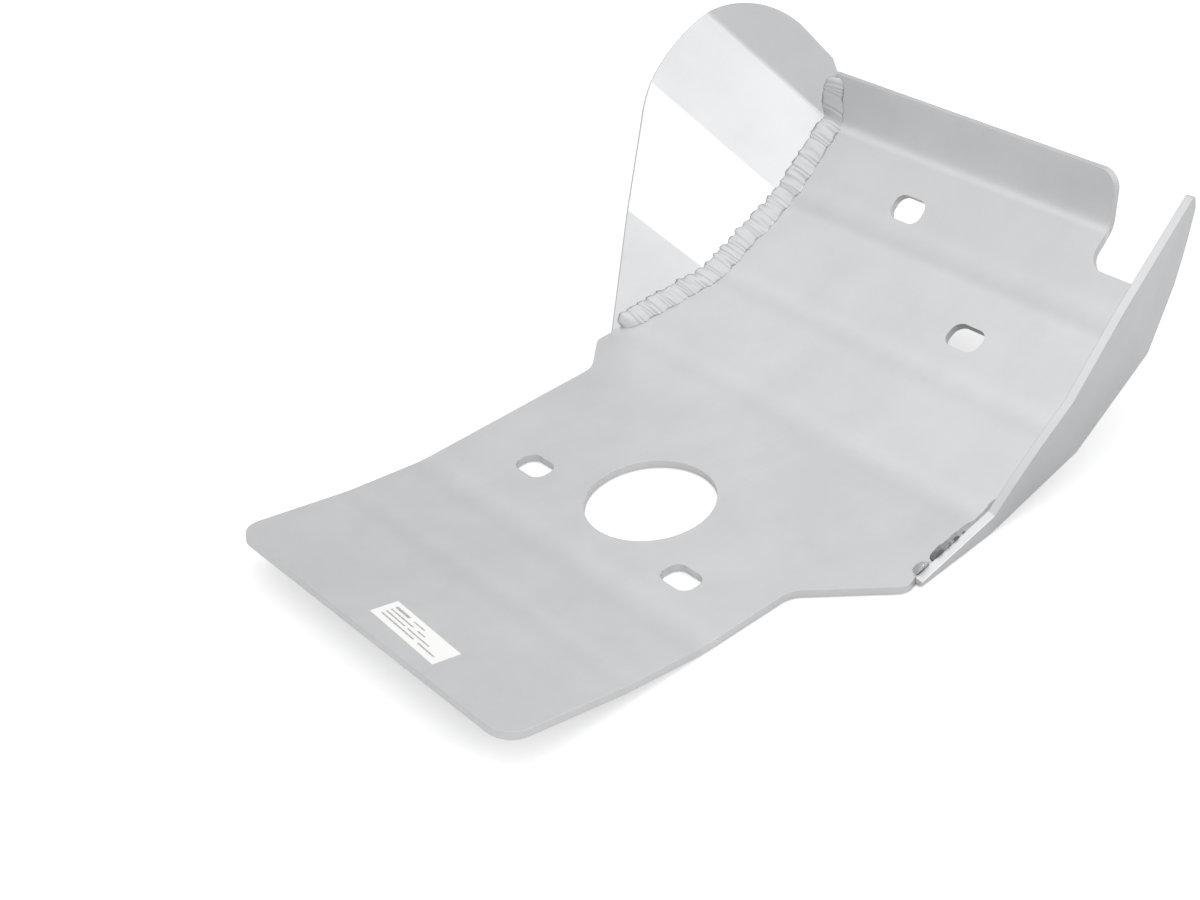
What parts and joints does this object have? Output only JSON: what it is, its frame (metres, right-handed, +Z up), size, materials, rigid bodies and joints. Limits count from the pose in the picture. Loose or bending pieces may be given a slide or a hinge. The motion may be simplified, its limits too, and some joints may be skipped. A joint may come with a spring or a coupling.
{
  "type": "engine guard",
  "caption": "Folded aluminium engine guard: a dished plate with a steep front lip, a round drain hole, mounting slots and a folded wing welded along each front side.",
  "frame": {"origin": "on the drain hole's axis, in the underside of the plate's flat floor", "axes": "+Z up, square to the flat floor; +Y forward, towards the steep lip; +X to the right"},
  "size_m": [0.3097, 0.3922, 0.1369],
  "materials": {
    "plate": "satin mill finish",
    "wings": "satin mill finish",
    "weld": "as welded",
    "label": "matt"
  },
  "bodies": {
    "root": {"skid_plate": "plate", "left_wing": "wings", "right_wing": "wings", "left_weld": "weld", "right_weld": "weld", "tack_weld": "weld", "label": "label"}
  },
  "joints": []
}
